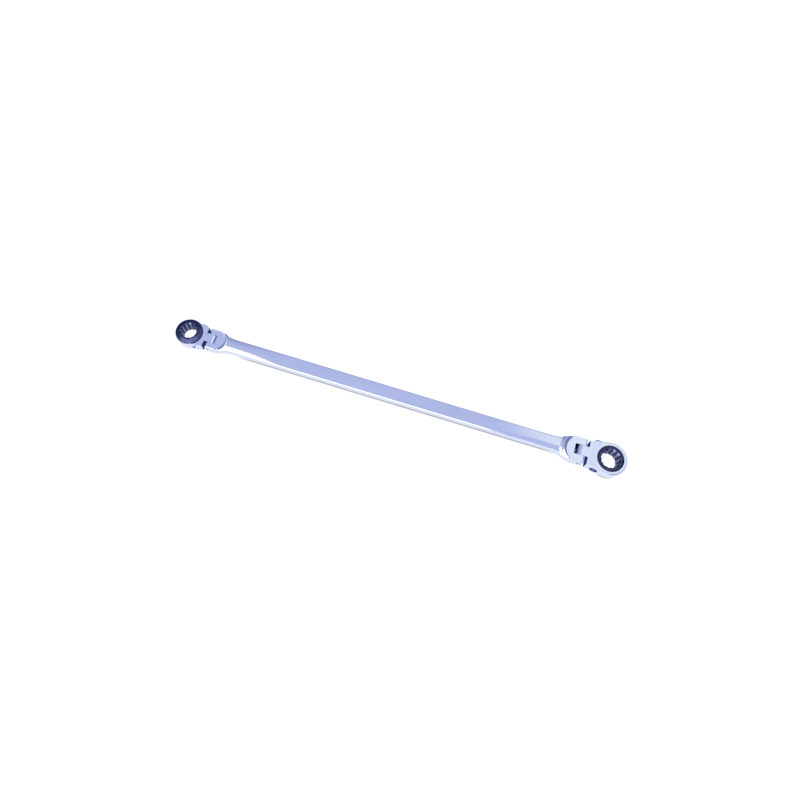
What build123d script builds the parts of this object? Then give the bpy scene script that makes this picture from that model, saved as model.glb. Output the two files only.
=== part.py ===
from build123d import *

import os
from dataclasses import dataclass
from math import cos, pi, radians, sin, sqrt

# Double-box flex-head ratchet wrench, in millimetres.
# Origin: middle of the overall length, on the mid-plane of the handle.
# +X runs towards the large head, +Z out of the handle's upper face, +Y along the flex pins.
# The two heads are alike but turned over: the large gear drops in from below, the small from above.

# ---- driving dimensions -------------------------------------------------------------------------
OVERALL_LENGTH = 345.5  # tip to tip over the two rings
HANDLE_WIDTH = 11.1  # bar between the flares
HANDLE_THICKNESS = 5.2
HANDLE_EDGE_RADIUS = 0.9  # rolled edges of the bar and flares
EAR_EDGE_RADIUS = 0.4  # broken edges of the fork's raised pads

# ---- fits and clearances, all per side ----------------------------------------------------------
FLEX_PIN_CLEARANCE = 0.04  # pin in the tongue, running
TONGUE_SIDE_CLEARANCE = 0.12  # tongue between the ears
GEAR_BEARING_CLEARANCE = 0.05  # gear lands in the housing bore, running
GEAR_TOOTH_CLEARANCE = 0.06  # tooth tips inside the bearing lands
FLANGE_CLEARANCE = 0.05  # thrust face of the gear flange to the housing
MESH_CLEARANCE = 0.03  # pawl teeth in the gear teeth, radial
BALL_CLEARANCE = 0.05  # balls to what they press on, and in their bores
RING_GROOVE_CLEARANCE = 0.03  # retaining ring between the groove's walls
HUB_CLEARANCE = 0.12  # gear hub inside the retaining ring, and flange edge inside the ring's outline
PAWL_SLIDE_CLEARANCE = 0.1  # round back of the pawl to the pocket's wall at full travel
SEAT_CLEARANCE = 0.02  # balls in the pawl's seat and against the springs

# ---- gear, pawl and spring constants shared by both heads ---------------------------------------
GEAR_TEETH = 72
PAWL_SLIDE_ANGLE = 30.0  # pawl travel, measured from straight back towards the spring
PAWL_TRAVEL = 0.5
PAWL_FIRST_TOOTH = -1  # tooth numbers counted from straight back, towards the spring
PAWL_LAST_TOOTH = 6
TOOTH_CREST = 0.16  # flat crest of a tooth, as a share of the pitch
TOOTH_RELIEF_LOW = 0.45  # toothed band past the pawl, on the flange side
TOOTH_RELIEF_HIGH = 0.25  # the same on the retaining-ring side
POCKET_IN_WALL = 0.25  # pocket axis set this far inside the gear bore's wall
POCKET_END_ROOM = 0.35  # pocket past the pawl at full travel
PLUG_RECESS = 0.5
PLUG_THICKNESS = 0.75  # share of the pocket's radius
PIN_RECESS = 0.15  # each end of the flex pin below the ear
PIN_CHAMFER = 0.25
SPRING_TURNS = 5
COIL_TO_BALL = 0.7  # mean coil radius as a share of the radius of the ball it presses
SPRING_BORE_ROOM = 0.2  # pawl spring bore beyond the ball's sideways shift
BULGE_TIP_WALL = 1.2  # metal left between the spring bore and the tip of the bulge
BALL_IN_PAWL = 0.34  # share of the ball's radius that sits in the pawl
RING_IN_GROOVE = 0.4  # share of the retaining ring's width that sits in its groove
RING_GAP = 0.3  # opening of the retaining ring, as a share of its radius

# ---- forged shapes, as shares of the sizes they belong to ---------------------------------------
FLARE_ENTRY = 0.51  # pull of the flare's curve along the bar
FLARE_EXIT = 0.36  # pull of the flare's curve along the fork
NECK_LEVEL = 1.35  # head stays at fork thickness up to this share of the shoulder's distance
NECK_SLOPE = 30.0  # run over rise of the neck from fork thickness to ring height
BULGE_ROUNDING = 0.35  # rounding of the bulge's tip, as a share of its radius


@dataclass(frozen=True)
class EndSize:
    """Sizes of one end of the wrench; x is measured outwards from the flex pin."""

    name: str
    socket_af: float  # hexagon across flats
    ring_od: float
    ring_height: float
    ring_edge_radius: float
    pin_to_socket: float
    flange_height: float  # gear flange standing proud of the ring
    flange_rim: float  # thickness of the flange at its edge
    tooth_tip_radius: float
    tooth_depth: float
    mouth_radius: float  # outer edge of the socket's lead-in chamfer
    mouth_slope: float  # depth over width of that chamfer
    broken_edge: float  # small chamfers on the gear's rims
    clip_width: float  # radial width of the retaining ring
    clip_thickness: float
    clip_depth: float  # retaining ring below the ring's face
    fork_thickness: float
    fork_width: float
    tongue_width: float
    tongue_end_gap: float  # rounded tongue end to the slot's bottom
    ear_end: float  # flat end of the ears past the pin
    ear_corner_radius: float
    shoulder: float  # head shoulder past the pin
    pad_radius: float  # round back of the raised fork pad
    pad_centre: float  # centre of that round, behind the pin
    pad_ramp: float  # hollow ramp from the pad's back down to the bar
    flare_end: float  # fork reaches full width this far behind the pin
    flare_length: float
    pin_radius: float
    pocket_radius: float
    pawl_height: float
    pawl_back: float  # pawl thickness behind its tooth roots
    pawl_ball_radius: float
    bulge_radius: float
    bulge_rise: float  # tip of the spring bulge above the neck's side
    spring_wire: float
    flex_ball_radius: float
    flex_bore_depth: float


LARGE = EndSize(
    name="large",
    socket_af=12.0,
    ring_od=24.6,
    ring_height=9.2,
    ring_edge_radius=0.9,
    pin_to_socket=21.0,
    flange_height=1.3,
    flange_rim=0.6,
    tooth_tip_radius=9.74,
    tooth_depth=0.38,
    mouth_radius=8.5,
    mouth_slope=0.75,
    broken_edge=0.28,
    clip_width=1.25,
    clip_thickness=0.75,
    clip_depth=0.45,
    fork_thickness=8.8,
    fork_width=18.4,
    tongue_width=7.6,
    tongue_end_gap=1.0,
    ear_end=2.6,
    ear_corner_radius=1.0,
    shoulder=4.9,
    pad_radius=10.6,
    pad_centre=0.7,
    pad_ramp=4.5,
    flare_end=4.4,
    flare_length=19.5,
    pin_radius=1.6,
    pocket_radius=3.0,
    pawl_height=4.5,
    pawl_back=1.5,
    pawl_ball_radius=1.0,
    bulge_radius=3.4,
    bulge_rise=1.75,
    spring_wire=0.32,
    flex_ball_radius=1.5,
    flex_bore_depth=9.0,
)

SMALL = EndSize(
    name="small",
    socket_af=10.0,
    ring_od=20.4,
    ring_height=8.4,
    ring_edge_radius=0.8,
    pin_to_socket=17.2,
    flange_height=1.7,
    flange_rim=0.7,
    tooth_tip_radius=8.0,
    tooth_depth=0.32,
    mouth_radius=6.9,
    mouth_slope=0.72,
    broken_edge=0.25,
    clip_width=1.1,
    clip_thickness=0.7,
    clip_depth=0.4,
    fork_thickness=7.8,
    fork_width=15.6,
    tongue_width=6.6,
    tongue_end_gap=0.2,
    ear_end=2.2,
    ear_corner_radius=0.9,
    shoulder=4.3,
    pad_radius=8.2,
    pad_centre=2.2,
    pad_ramp=2.2,
    flare_end=4.2,
    flare_length=14.5,
    pin_radius=1.4,
    pocket_radius=2.6,
    pawl_height=3.9,
    pawl_back=1.25,
    pawl_ball_radius=0.85,
    bulge_radius=3.0,
    bulge_rise=1.36,
    spring_wire=0.28,
    flex_ball_radius=1.25,
    flex_bore_depth=7.5,
)

ENDS = (LARGE, SMALL)


# ---- frames and derived sizes -------------------------------------------------------------------
def head_frame(end):
    """Plane at the middle of the flex pin: x outwards, y along +Y, z out of the gear's clip side."""
    side = 1 if end is LARGE else -1
    pin_x = side * (OVERALL_LENGTH / 2 - end.ring_od / 2 - end.pin_to_socket)
    return Plane(origin=(pin_x, 0, 0), x_dir=(side, 0, 0), z_dir=(0, 0, side))


def cross_plane(end, x, y, z=0.0):
    """Plane at a head's local point whose normal points along +y, with local x kept."""
    frame = head_frame(end)
    return Plane(frame.from_local_coords((x, y, z)), x_dir=frame.x_dir, z_dir=frame.y_dir)


def bearing_radius(end):
    """Radius of the gear's two smooth bearing lands."""
    return end.tooth_tip_radius + GEAR_TOOTH_CLEARANCE


def bore_radius(end):
    """Radius of the housing bore that the gear turns in."""
    return bearing_radius(end) + GEAR_BEARING_CLEARANCE


def clip_top(end):
    """Upper face of the retaining ring."""
    return end.ring_height / 2 - end.clip_depth


def clip_bottom(end):
    """Lower face of the retaining ring, just above the gear's upper land."""
    return clip_top(end) - end.clip_thickness


def clip_outer_radius(end):
    """Outer edge of the retaining ring, inside the housing's groove."""
    return bore_radius(end) + RING_IN_GROOVE * end.clip_width


def clip_inner_radius(end):
    """Inner edge of the retaining ring, over the shoulder of the gear."""
    return clip_outer_radius(end) - end.clip_width


def pocket_x(end):
    """Axis of the cross-drilled pawl pocket, measured outwards from the flex pin."""
    return end.pin_to_socket - bore_radius(end) + POCKET_IN_WALL


def slot_bottom(end):
    """Distance from the flex pin back to the bottom of the fork's slot."""
    return end.fork_thickness / 2 + end.tongue_end_gap


def pawl_retreat():
    """How far the pawl moves straight back, away from the gear, at full travel."""
    return PAWL_TRAVEL * cos(radians(PAWL_SLIDE_ANGLE))


def pawl_ends(end):
    """Lowest and highest y of the pawl, half a tooth past its last teeth."""
    pitch = 360 / GEAR_TEETH
    low = end.tooth_tip_radius * sin(radians((PAWL_FIRST_TOOTH - 0.5) * pitch))
    high = end.tooth_tip_radius * sin(radians((PAWL_LAST_TOOTH + 0.5) * pitch))
    return low, high


def ball_centre_y(end):
    """Centre of the pawl ball, seated a third of its radius into the pawl's end."""
    return pawl_ends(end)[1] + (1 - BALL_IN_PAWL) * end.pawl_ball_radius


def pocket_end(end):
    """Blind end of the wide pocket, clear of the pawl at full travel."""
    return pawl_ends(end)[1] + PAWL_TRAVEL + POCKET_END_ROOM


def spring_bore_radius(end):
    """Bore for the pawl spring: the ball shifts sideways in it as the pawl slides."""
    return end.pawl_ball_radius + pawl_retreat() / 2 + SPRING_BORE_ROOM


def ball_coil_radius(ball_radius):
    """Mean coil radius of a spring that presses on the back of a ball."""
    return COIL_TO_BALL * ball_radius


def ball_seat(ball_radius, wire):
    """Distance from a ball's centre back to the end of the spring that presses on it."""
    touch = ball_radius + wire / 2 + SEAT_CLEARANCE
    return sqrt(touch**2 - ball_coil_radius(ball_radius) ** 2) - wire / 2


def neck_half_width(end):
    """Half width of the neck at the pawl pocket, on the line that meets the ring."""
    reach = end.pin_to_socket - end.shoulder
    share = (pocket_x(end) - end.shoulder) / reach
    return end.fork_width / 2 + share * (end.ring_od / 2 - end.fork_width / 2)


def bulge_tip(end):
    """Tip of the spring bulge from the centre plane."""
    return neck_half_width(end) + end.bulge_rise


def spring_bore_end(end):
    """Blind end of the spring bore, leaving a wall at the tip of the bulge."""
    return bulge_tip(end) - BULGE_TIP_WALL


def polar(radius, angle):
    """Point on a circle about the socket axis, angle in degrees."""
    return (radius * cos(radians(angle)), radius * sin(radians(angle)))


# ---- handle -------------------------------------------------------------------------------------
def handle_outline(large_tip, small_tip):
    """Bar, flares and forks in plan; each fork ends at the given distance past its pin."""
    tips = {"large": large_tip, "small": small_tip}
    with BuildSketch(Plane.XY) as outline:
        with BuildLine():
            half = HANDLE_WIDTH / 2
            flare_starts = {}
            for end in ENDS:
                frame = head_frame(end)
                side = frame.x_dir.X
                pin = frame.origin.X
                wide = end.fork_width / 2
                shoulder_x = -end.flare_end
                start = shoulder_x - end.flare_length
                flare_starts[end.name] = pin + side * start
                Bezier(
                    (pin + side * start, half),
                    (pin + side * (shoulder_x - FLARE_ENTRY * end.flare_length), half),
                    (pin + side * (shoulder_x - FLARE_EXIT * end.flare_length), wide),
                    (pin + side * shoulder_x, wide),
                )
                Polyline(
                    (pin + side * shoulder_x, wide),
                    (pin + side * tips[end.name], wide),
                    (pin + side * tips[end.name], 0),
                )
            Line((flare_starts["small"], half), (flare_starts["large"], half))
            far_large = head_frame(LARGE).origin.X + large_tip
            far_small = head_frame(SMALL).origin.X - small_tip
            Line((far_small, 0), (far_large, 0))
        make_face()
        mirror(about=Plane.XZ)
    return outline.sketch


def fork_pad(end, outline):
    """Thick fork block: a round-backed pad with a crisp edge, then a hollow ramp down into the bar."""
    frame = head_frame(end)
    top = end.fork_thickness / 2
    bar = HANDLE_THICKNESS / 2
    drop = top - bar
    foot = end.pad_radius + end.pad_ramp
    hollow = (end.pad_ramp**2 + drop**2) / (2 * drop)  # radius of an arc that meets the bar level
    back = frame.from_local_coords((-end.pad_centre, 0, 0))
    turning = Plane(back, x_dir=frame.x_dir, z_dir=-frame.y_dir * frame.x_dir.X)
    sunk = bar / 2
    reach = end.pad_centre + end.ear_end
    with BuildPart() as pad:
        with BuildSketch(turning):
            with BuildLine():
                Polyline((0, 0), (0, top), (end.pad_radius, top))
                RadiusArc((end.pad_radius, top), (foot, bar), -hollow)
                Polyline((foot, bar), (foot, sunk), (0, 0))
            make_face()
        revolve(axis=Axis(back, (0, 0, 1)))
        mirror(about=Plane.XY)
        with BuildSketch(frame):
            with Locations((reach / 2 - end.pad_centre, 0)):
                Rectangle(reach, 2 * foot)
        extrude(amount=top, both=True)
        with BuildSketch(Plane.XY):
            add(outline)
        extrude(amount=top, both=True, mode=Mode.INTERSECT)
        with BuildSketch(Plane(back, x_dir=frame.y_dir, z_dir=frame.x_dir)):
            RectangleRounded(end.fork_width, end.fork_thickness, EAR_EDGE_RADIUS)
        extrude(amount=2 * (end.pad_radius + end.ear_end), both=True, mode=Mode.INTERSECT)
        length = 3 * end.pad_radius
        with BuildSketch(cross_plane(end, end.ear_end - length / 2, 0)):
            RectangleRounded(length, end.fork_thickness, end.ear_corner_radius)
        extrude(amount=end.fork_width, both=True, mode=Mode.INTERSECT)
    return pad.part


def build_handle():
    """One forged bar: rolled edges, two forks, slots, pin holes and friction-ball bores."""
    whole = handle_outline(LARGE.ear_end, SMALL.ear_end)
    pads = [fork_pad(end, whole) for end in ENDS]
    bar = handle_outline(-LARGE.pad_centre, -SMALL.pad_centre)
    with BuildPart() as handle:
        with BuildSketch(Plane.XY):
            add(bar)
        extrude(amount=HANDLE_THICKNESS / 2, both=True)
        rims = handle.edges().filter_by(Plane.XY)
        fillet(rims, HANDLE_EDGE_RADIUS)
        for pad in pads:
            add(pad)
        for end in ENDS:
            frame = head_frame(end)
            slot_half = end.tongue_width / 2 + TONGUE_SIDE_CLEARANCE
            slot_length = slot_bottom(end) + end.ear_end
            with BuildSketch(frame):
                with Locations((end.ear_end - slot_length / 2, 0)):
                    Rectangle(slot_length, 2 * slot_half)
            extrude(amount=end.fork_thickness, both=True, mode=Mode.SUBTRACT)
            with BuildSketch(cross_plane(end, 0, 0)):
                Circle(end.pin_radius)
            extrude(amount=end.fork_width, both=True, mode=Mode.SUBTRACT)
            back = frame.from_local_coords((-slot_bottom(end) - end.flex_bore_depth, 0, 0))
            with BuildSketch(Plane(back, z_dir=frame.x_dir)):
                Circle(end.flex_ball_radius + BALL_CLEARANCE)
            extrude(amount=end.flex_bore_depth + slot_bottom(end), mode=Mode.SUBTRACT)
    return handle.part


# ---- heads --------------------------------------------------------------------------------------
def build_head(end):
    """Ring housing with its neck and tongue, bored for the gear, the pawl, its spring and the pin."""
    frame = head_frame(end)
    high = end.ring_height / 2
    low = end.fork_thickness / 2
    bore = bore_radius(end)
    ring_x = end.pin_to_socket
    px = pocket_x(end)
    sliver = 0.02
    with BuildPart() as head:
        with BuildSketch(frame):
            with Locations((ring_x, 0)):
                Circle(end.ring_od / 2)
            with Locations((end.shoulder + sliver / 2, 0)):
                Rectangle(sliver, end.fork_width)
            make_hull()
        extrude(amount=high, both=True)
        rims = head.edges().filter_by(Plane.XY)
        past_shoulder = end.shoulder + 5 * sliver
        fillet(
            rims.filter_by(lambda e: frame.to_local_coords(e.center()).X > past_shoulder),
            end.ring_edge_radius,
        )
        with BuildSketch(frame):
            with Locations((end.shoulder, 0)):
                Rectangle(2 * end.shoulder, end.tongue_width)
            with Locations((-low / 2, 0)):
                Rectangle(low, end.tongue_width)
        extrude(amount=high, both=True)
        rise = NECK_LEVEL * end.shoulder
        level = rise + NECK_SLOPE * (high - low)
        far = ring_x + end.ring_od
        with BuildSketch(cross_plane(end, 0, 0)):
            Circle(low)
            with BuildLine():
                Polyline((0, low), (rise, low), (level, high), (far, high))
                Polyline((0, -low), (rise, -low), (level, -high), (far, -high))
                Line((0, low), (0, -low))
                Line((far, high), (far, -high))
            make_face()
        extrude(amount=end.ring_od, both=True, mode=Mode.INTERSECT)
        edge = px + end.bulge_radius
        rounding = BULGE_ROUNDING * end.bulge_radius
        top = bulge_tip(end)
        with BuildSketch(frame):
            with BuildLine():
                Polyline((px, top), (px, 0), (edge, 0), (edge, top - rounding))
                CenterArc((edge - rounding, top - rounding), rounding, 0, 90)
                Line((edge - rounding, top), (px, top))
            make_face()
        revolve(axis=Axis(frame.from_local_coords((px, 0, 0)), frame.y_dir))
        with BuildSketch(frame):
            with Locations((ring_x, 0)):
                Circle(bore)
        extrude(amount=end.ring_height, both=True, mode=Mode.SUBTRACT)
        with BuildSketch(frame.offset(clip_bottom(end) - RING_GROOVE_CLEARANCE)):
            with Locations((ring_x, 0)):
                Circle(clip_outer_radius(end) + RING_GROOVE_CLEARANCE)
        extrude(amount=end.clip_thickness + 2 * RING_GROOVE_CLEARANCE, mode=Mode.SUBTRACT)
        with BuildSketch(cross_plane(end, px, -end.ring_od / 2)):
            Circle(end.pocket_radius)
        extrude(amount=pocket_end(end) + end.ring_od / 2, mode=Mode.SUBTRACT)
        with BuildSketch(cross_plane(end, px, 0)):
            Circle(spring_bore_radius(end))
        extrude(amount=spring_bore_end(end), mode=Mode.SUBTRACT)
        with BuildSketch(cross_plane(end, 0, 0)):
            Circle(end.pin_radius + FLEX_PIN_CLEARANCE)
        extrude(amount=end.fork_width, both=True, mode=Mode.SUBTRACT)
    return head.part


def tooth_ring(tip, root):
    """Corners of the fine tooth form: straight flanks, tips at whole pitches from straight back."""
    pitch = 360 / GEAR_TEETH
    corners = []
    for tooth in range(GEAR_TEETH):
        middle = 180 + tooth * pitch
        corners.append(polar(root, middle - 0.5 * pitch))
        corners.append(polar(tip, middle - TOOTH_CREST / 2 * pitch))
        corners.append(polar(tip, middle + TOOTH_CREST / 2 * pitch))
    return corners


def socket_corners(end):
    """Twelve outer and twelve inner corners of two hexagons turned by 30 degrees."""
    outer = end.socket_af / 2 / cos(pi / 6)
    inner = end.socket_af / 2 / cos(pi / 12)
    return [polar(outer if step % 2 == 0 else inner, 15 * step) for step in range(24)]


def build_gear(end):
    """Ring gear: proud flange, two bearing lands with the teeth between, hub and 12-point bore."""
    frame = head_frame(end)
    centre = frame.from_local_coords((end.pin_to_socket, 0, 0))
    axis_plane = Plane(centre, x_dir=frame.x_dir, z_dir=frame.z_dir)
    half = end.ring_height / 2
    land = bearing_radius(end)
    land_top = clip_bottom(end) - RING_GROOVE_CLEARANCE
    tooth_low = -(end.pawl_height / 2 + TOOTH_RELIEF_LOW)
    tooth_high = end.pawl_height / 2 + TOOTH_RELIEF_HIGH
    root = end.tooth_tip_radius - end.tooth_depth
    hub_radius = clip_inner_radius(end) - HUB_CLEARANCE
    hub_top = half - end.clip_depth / 2
    flange_face = -half - FLANGE_CLEARANCE
    flange_radius = end.ring_od / 2 - HUB_CLEARANCE
    flange_low = flange_face - end.flange_rim
    bottom = -half - end.flange_height
    mouth_inner = end.socket_af / 2 / cos(pi / 6) - end.broken_edge
    lead_in = end.mouth_slope * (end.mouth_radius - mouth_inner)
    turning = Plane(centre, x_dir=frame.x_dir, z_dir=-frame.y_dir)
    with BuildPart() as gear:
        with BuildSketch(turning):
            with BuildLine():
                Polyline(
                    (0, bottom),
                    (end.mouth_radius + end.broken_edge, bottom),
                    (flange_radius - end.broken_edge, flange_low),
                    (flange_radius, flange_low + end.broken_edge),
                    (flange_radius, flange_face),
                    (land, flange_face),
                    (land, land_top),
                    (hub_radius, land_top),
                    (hub_radius, hub_top - end.broken_edge),
                    (hub_radius - end.broken_edge, hub_top),
                    (0, hub_top),
                    (0, bottom),
                )
            make_face()
        revolve(axis=Axis(centre, frame.z_dir))
        with BuildSketch(axis_plane.offset(tooth_low)):
            Circle(land + 1)
            with BuildLine():
                Polyline(*tooth_ring(end.tooth_tip_radius, root), close=True)
            make_face(mode=Mode.SUBTRACT)
        extrude(amount=tooth_high - tooth_low, mode=Mode.SUBTRACT)
        with BuildSketch(axis_plane.offset(bottom - 1)):
            with BuildLine():
                Polyline(*socket_corners(end), close=True)
            make_face()
        extrude(amount=hub_top - bottom + 2, mode=Mode.SUBTRACT)
        with BuildSketch(turning):
            for face, way in ((bottom, 1), (hub_top, -1)):
                with BuildLine():
                    Polyline(
                        (0, face),
                        (end.mouth_radius, face),
                        (mouth_inner, face + way * lead_in),
                        (0, face + way * lead_in),
                        close=True,
                    )
                make_face()
        revolve(axis=Axis(centre, frame.z_dir), mode=Mode.SUBTRACT)
    return gear.part


def build_retaining_ring(end):
    """Open spring ring: held in the housing's groove, over the gear's upper shoulder."""
    frame = head_frame(end)
    gap = RING_GAP * clip_outer_radius(end)
    with BuildPart() as ring:
        with BuildSketch(frame.offset(clip_bottom(end))):
            with Locations((end.pin_to_socket, 0)):
                Circle(clip_outer_radius(end))
                Circle(clip_inner_radius(end), mode=Mode.SUBTRACT)
            with Locations((end.pin_to_socket + end.ring_od / 2, 0)):
                Rectangle(end.ring_od, gap, mode=Mode.SUBTRACT)
        extrude(amount=end.clip_thickness)
    return ring.part


def build_pawl(end):
    """Sliding pawl: hollow toothed face in mesh with the gear, back corners rounded to the pocket."""
    frame = head_frame(end)
    centre_x = end.pin_to_socket
    tip = end.tooth_tip_radius + MESH_CLEARANCE
    root = tip - end.tooth_depth
    back_x = centre_x - end.tooth_tip_radius - end.pawl_back
    pitch = 360 / GEAR_TEETH
    corners = []
    for tooth in range(PAWL_FIRST_TOOTH, PAWL_LAST_TOOTH + 1):
        middle = 180 - tooth * pitch
        corners.append(polar(root, middle + 0.5 * pitch))
        corners.append(polar(tip, middle + TOOTH_CREST / 2 * pitch))
        corners.append(polar(tip, middle - TOOTH_CREST / 2 * pitch))
    corners.append(polar(root, 180 - (PAWL_LAST_TOOTH + 0.5) * pitch))
    points = [(centre_x + x, y) for x, y in corners]
    outline = [(back_x, points[0][1]), *points, (back_x, points[-1][1])]
    with BuildPart() as pawl:
        with BuildSketch(frame):
            with BuildLine():
                Polyline(*outline, close=True)
            make_face()
        extrude(amount=end.pawl_height / 2, both=True)
        with BuildSketch(cross_plane(end, pocket_x(end) + pawl_retreat(), 0)):
            Circle(end.pocket_radius - PAWL_SLIDE_CLEARANCE)
        extrude(amount=end.ring_od / 2, both=True, mode=Mode.INTERSECT)
        with Locations(frame.from_local_coords((pocket_x(end), ball_centre_y(end), 0))):
            Sphere(end.pawl_ball_radius + SEAT_CLEARANCE, mode=Mode.SUBTRACT)
    return pawl.part


def build_ball(end, x, y, radius):
    """Steel ball at a head's local point."""
    with BuildPart() as ball:
        with Locations(head_frame(end).from_local_coords((x, y, 0))):
            Sphere(radius)
    return ball.part


def build_spring(start, finish, coil_radius, wire):
    """Coil spring between two points: a round wire swept along a helix, ends cut square."""
    axis = finish - start
    height = axis.length - wire
    with BuildPart() as spring:
        with BuildLine() as path:
            Helix(
                pitch=height / SPRING_TURNS,
                height=height,
                radius=coil_radius,
                center=start + axis.normalized() * wire / 2,
                direction=axis,
            )
        with BuildSketch(Plane(origin=path.line @ 0, z_dir=path.line % 0)):
            Circle(wire / 2)
        sweep(is_frenet=True)
    return spring.part


def build_pawl_spring(end):
    """Spring from the blind end of its bore to the back of the pawl ball, loose enough to lean."""
    frame = head_frame(end)
    coil = ball_coil_radius(end.pawl_ball_radius)
    seat = ball_centre_y(end) + ball_seat(end.pawl_ball_radius, end.spring_wire)
    start = frame.from_local_coords((pocket_x(end), spring_bore_end(end), 0))
    finish = frame.from_local_coords((pocket_x(end), seat, 0))
    return build_spring(start, finish, coil, end.spring_wire)


def flex_ball_x(end):
    """Centre of the friction ball, resting on the tongue's rounded end."""
    return -(end.fork_thickness / 2 + BALL_CLEARANCE + end.flex_ball_radius)


def build_flex_spring(end):
    """Spring from the bottom of the handle's bore to the friction ball."""
    frame = head_frame(end)
    coil = ball_coil_radius(end.flex_ball_radius)
    seat = flex_ball_x(end) - ball_seat(end.flex_ball_radius, end.spring_wire)
    start = frame.from_local_coords((-slot_bottom(end) - end.flex_bore_depth, 0, 0))
    finish = frame.from_local_coords((seat, 0, 0))
    return build_spring(start, finish, coil, end.spring_wire)


def build_pin(end):
    """Flex pin: pressed in the ears, running in the tongue, ends chamfered just below the ears."""
    length = end.fork_width - 2 * PIN_RECESS
    with BuildPart() as pin:
        with BuildSketch(cross_plane(end, 0, -length / 2)):
            Circle(end.pin_radius)
        extrude(amount=length)
        chamfer(pin.edges().filter_by(GeomType.CIRCLE), PIN_CHAMFER)
    return pin.part


def build_plug(end):
    """Plug pressed into the open end of the pawl pocket, dimpled in the middle."""
    face = cross_plane(end, pocket_x(end), -(neck_half_width(end) - PLUG_RECESS))
    dimple = end.pocket_radius / 4
    with BuildPart() as plug:
        with BuildSketch(face):
            Circle(end.pocket_radius)
        extrude(amount=PLUG_THICKNESS * end.pocket_radius)
        with Locations(face * Location((0, 0, dimple / 2))):
            Cone(dimple, dimple / 4, dimple, mode=Mode.SUBTRACT)
    return plug.part


# ---- build and export ---------------------------------------------------------------------------
def save(part, label):
    """Label one piece and write it to its own STEP file."""
    part.label = label
    export_step(part, f"parts/{label}.step")


os.makedirs("parts", exist_ok=True)
save(build_handle(), "handle")
for end in ENDS:
    save(build_head(end), f"{end.name}_head")
    save(build_gear(end), f"{end.name}_ring_gear")
    save(build_retaining_ring(end), f"{end.name}_retaining_ring")
    save(build_pawl(end), f"{end.name}_pawl")
    save(build_ball(end, pocket_x(end), ball_centre_y(end), end.pawl_ball_radius), f"{end.name}_pawl_ball")
    save(build_pawl_spring(end), f"{end.name}_pawl_spring")
    save(build_plug(end), f"{end.name}_pocket_plug")
    save(build_pin(end), f"{end.name}_pivot_pin")
    save(build_ball(end, flex_ball_x(end), 0, end.flex_ball_radius), f"{end.name}_flex_ball")
    save(build_flex_spring(end), f"{end.name}_flex_spring")
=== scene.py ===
"""Double-box flex-head ratchet wrench: the looks of the object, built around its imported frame.

Every mesh is worked out in millimetres and stored in metres. Each end of the wrench has its own
frame: x runs outwards from the flex pin, y along the pin, and z out of the side of the head that
holds the retaining ring. The large end keeps the world's directions; the small end is turned over.
"""

import logging
from dataclasses import dataclass
from enum import Enum
from typing import Any

import bpy
import numpy as np
from mathutils import Matrix, Vector

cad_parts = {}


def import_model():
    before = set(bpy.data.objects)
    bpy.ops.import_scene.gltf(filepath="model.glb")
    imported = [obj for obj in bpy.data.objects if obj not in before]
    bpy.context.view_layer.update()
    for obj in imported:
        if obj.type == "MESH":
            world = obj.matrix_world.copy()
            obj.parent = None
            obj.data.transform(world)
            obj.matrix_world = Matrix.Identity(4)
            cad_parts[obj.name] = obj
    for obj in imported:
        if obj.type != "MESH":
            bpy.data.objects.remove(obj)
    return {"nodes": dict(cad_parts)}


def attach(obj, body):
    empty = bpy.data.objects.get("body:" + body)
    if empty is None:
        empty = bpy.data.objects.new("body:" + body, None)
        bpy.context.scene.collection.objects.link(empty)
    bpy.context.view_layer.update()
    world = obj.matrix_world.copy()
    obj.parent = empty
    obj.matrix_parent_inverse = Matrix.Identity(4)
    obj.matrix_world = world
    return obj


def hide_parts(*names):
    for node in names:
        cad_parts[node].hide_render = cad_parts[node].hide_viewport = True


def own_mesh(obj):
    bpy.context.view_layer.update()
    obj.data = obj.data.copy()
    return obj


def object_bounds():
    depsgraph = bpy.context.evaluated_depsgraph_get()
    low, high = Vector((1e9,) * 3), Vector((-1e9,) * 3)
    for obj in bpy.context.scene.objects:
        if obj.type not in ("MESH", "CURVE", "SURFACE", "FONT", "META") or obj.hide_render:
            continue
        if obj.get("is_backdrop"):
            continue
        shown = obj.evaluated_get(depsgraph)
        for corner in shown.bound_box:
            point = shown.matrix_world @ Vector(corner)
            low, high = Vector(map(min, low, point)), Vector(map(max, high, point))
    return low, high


LOG = logging.getLogger("ratchet_wrench")
MM = 0.001
SHARP_DEGREES = 32.0  # edges that bend more than this stay sharp
BORE_POINTS = 12  # points round each socket
WORN_SPAN = (0.35, 0.7)  # noise values between which a finish turns from fresh to worn
GLOSS_SPAN = (0.3, 0.7)  # noise values between which it turns from bright to dull
LEAST_ROUGHNESS = 0.02


# ---- colours and node graphs --------------------------------------------------------------------
def linear(hex_colour: str, alpha: float = 1.0) -> tuple[float, float, float, float]:
    """Turn an sRGB hex colour into linear light.

    Args:
        hex_colour: six hex digits, such as "C8CEE0".
        alpha: the fourth channel.

    Returns:
        Red, green, blue and alpha, with each channel c as c / 12.92 up to 0.04045 and
        ((c + 0.055) / 1.055) to the power 2.4 above it.
    """
    channels = np.array([int(hex_colour[i : i + 2], 16) for i in (0, 2, 4)]) / 255
    low, high = channels / 12.92, ((channels + 0.055) / 1.055) ** 2.4
    return (*np.where(channels <= 0.04045, low, high).tolist(), alpha)


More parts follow.
